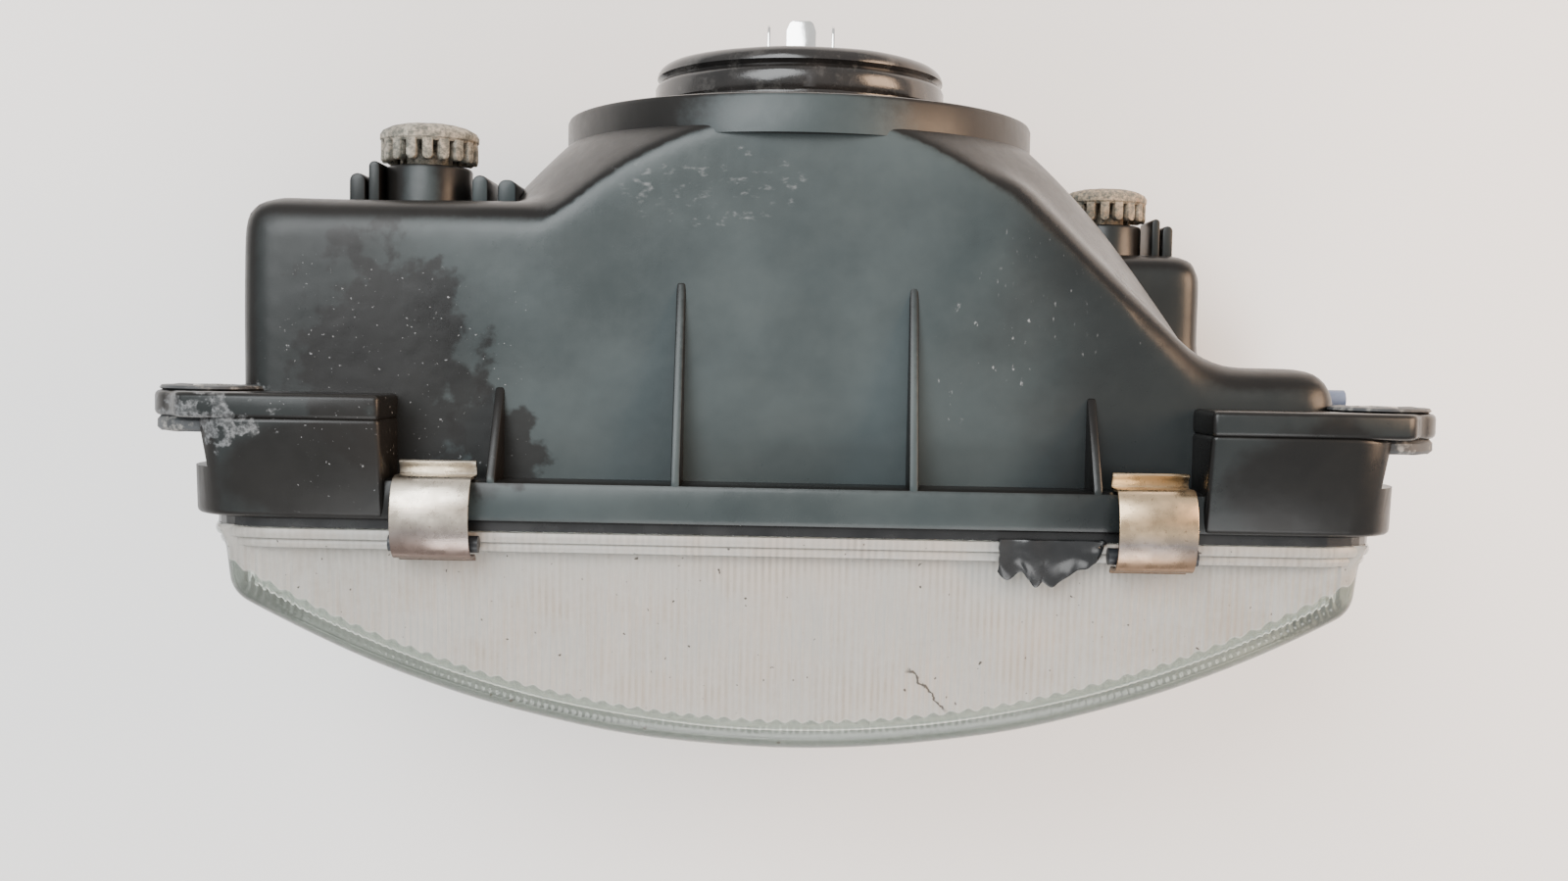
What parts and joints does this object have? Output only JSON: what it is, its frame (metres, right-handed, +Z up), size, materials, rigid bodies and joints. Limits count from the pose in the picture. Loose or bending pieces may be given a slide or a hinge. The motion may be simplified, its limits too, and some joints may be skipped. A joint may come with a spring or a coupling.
{
  "type": "headlight assembly",
  "caption": "Rectangular headlight with fluted glass lens held by sprung clips, adjustable reflector, replaceable bulb, rubber boot and four-ear moulded housing.",
  "frame": {"origin": "centre of the four ear bolt holes, which lies on the bulb axis, in the plane of the ear sleeves' rear ends", "axes": "+X to the lamp's left-hand side as fitted, seen from behind towards the right-hand aiming wheel; +Y rearward along the bulb axis, away from the lens; +Z up"},
  "size_m": [0.307, 0.1865, 0.1564],
  "materials": {
    "housing_plastic": "satin moulded, scuffed",
    "lens_glass": "fluted, dusty",
    "gasket_rubber": "matte",
    "clip_steel": "tarnished",
    "pad_rubber": "matte",
    "grommet_rubber": "dusty",
    "sleeve_steel": "plated",
    "breather_plastic": "satin",
    "reflector_plastic": "metallised inside",
    "boot_rubber": "glossy",
    "holder_steel": "zinc plated",
    "retainer_steel": "spring wire",
    "bulb_base_metal": "plated",
    "insulator_plastic": "moulded",
    "terminal_metal": "bright tinned",
    "bulb_glass": "clear",
    "filament_metal": "drawn wire",
    "adjuster_plastic": "aged, dusty",
    "screw_steel": "yellow zinc",
    "white_nylon": "moulded"
  },
  "bodies": {
    "housing": {"housing": "housing_plastic", "lens": "lens_glass", "lens_gasket": "gasket_rubber", "clip_pads": "pad_rubber", "ear_grommets": "grommet_rubber", "ear_sleeves": "sleeve_steel", "breather_tube": "breather_plastic", "pivot_stud": "screw_steel", "vertical_seal": "gasket_rubber", "horizontal_seal": "gasket_rubber"},
    "pivot_swivel": {"pivot_cup": "white_nylon"},
    "reflector": {"reflector": "reflector_plastic", "bulb_holder_ring": "holder_steel", "holder_rivets": "holder_steel", "bulb_flange": "bulb_base_metal", "bulb_insulator": "insulator_plastic", "bulb_terminals": "terminal_metal", "bulb_glass": "bulb_glass", "bulb_filaments": "filament_metal", "bulb_shield": "filament_metal", "vertical_socket": "white_nylon", "horizontal_socket": "white_nylon"},
    "dust_boot": {"dust_boot": "boot_rubber"},
    "bulb_retainer": {"bulb_retainer": "retainer_steel"},
    "vertical_adjuster": {"vertical_wheel": "adjuster_plastic", "vertical_screw": "screw_steel", "vertical_push_nut": "screw_steel"},
    "vertical_nut": {"vertical_nut": "white_nylon"},
    "horizontal_adjuster": {"horizontal_wheel": "adjuster_plastic", "horizontal_screw": "screw_steel", "horizontal_push_nut": "screw_steel"},
    "horizontal_nut": {"horizontal_nut": "white_nylon"},
    "clip_top_left": {"lens_clip_top_left": "clip_steel"},
    "clip_top_right": {"lens_clip_top_right": "clip_steel"},
    "clip_bottom_left": {"lens_clip_bottom_left": "clip_steel"},
    "clip_bottom_right": {"lens_clip_bottom_right": "clip_steel"}
  },
  "joints": [
    {"name": "height_adjuster", "type": "hinge", "parent": "housing", "child": "vertical_adjuster", "pos_m": [-0.0954, 0.018, 0.03], "axis": [0, 1, 0], "range_deg": [-1020, 1020]},
    {"name": "height_nut_slide", "type": "slide", "parent": "housing", "child": "vertical_nut", "axis": [0, 1, 0], "range_m": [-0.00284, 0.00284]},
    {"name": "side_adjuster", "type": "hinge", "parent": "housing", "child": "horizontal_adjuster", "pos_m": [0.092, 0.018, -0.035], "axis": [0, 1, 0], "range_deg": [-2340, 2340]},
    {"name": "side_nut_slide", "type": "slide", "parent": "housing", "child": "horizontal_nut", "axis": [0, 1, 0], "range_m": [-0.00651, 0.00651]},
    {"name": "side_aim", "type": "hinge", "parent": "housing", "child": "pivot_swivel", "pos_m": [-0.0954, 0.018, -0.035], "axis": [0, 0, 1], "range_deg": [-2, 2]},
    {"name": "height_aim", "type": "hinge", "parent": "pivot_swivel", "child": "reflector", "pos_m": [-0.0954, 0.018, -0.035], "axis": [1, 0, 0], "range_deg": [-2.5, 2.5]},
    {"name": "boot_pull", "type": "slide", "parent": "reflector", "child": "dust_boot", "axis": [0, 1, 0], "range_m": [0, 0.03]},
    {"name": "retainer_swing", "type": "hinge", "parent": "reflector", "child": "bulb_retainer", "pos_m": [0, 0.0643, -0.021], "axis": [-1, 0, 0], "range_deg": [0, 15]},
    {"name": "clip_top_left_swing", "type": "hinge", "parent": "housing", "child": "clip_top_left", "pos_m": [-0.0843, -0.0209, 0.0676], "axis": [-1, 0, 0], "range_deg": [0, 60]},
    {"name": "clip_top_right_swing", "type": "hinge", "parent": "housing", "child": "clip_top_right", "pos_m": [0.0843, -0.0209, 0.0676], "axis": [-1, 0, 0], "range_deg": [0, 60]},
    {"name": "clip_bottom_left_swing", "type": "hinge", "parent": "housing", "child": "clip_bottom_left", "pos_m": [-0.0843, -0.0209, -0.0676], "axis": [1, 0, 0], "range_deg": [0, 60]},
    {"name": "clip_bottom_right_swing", "type": "hinge", "parent": "housing", "child": "clip_bottom_right", "pos_m": [0.0843, -0.0209, -0.0676], "axis": [1, 0, 0], "range_deg": [0, 60]}
  ],
  "couplings": [
    {"joint": "height_nut_slide", "follows": "height_adjuster", "m_per_rad": -0.00015915},
    {"joint": "height_aim", "follows": "height_adjuster", "ratio": 0.0024485},
    {"joint": "side_nut_slide", "follows": "side_adjuster", "m_per_rad": -0.00015915},
    {"joint": "side_aim", "follows": "side_adjuster", "ratio": -0.00084928}
  ]
}
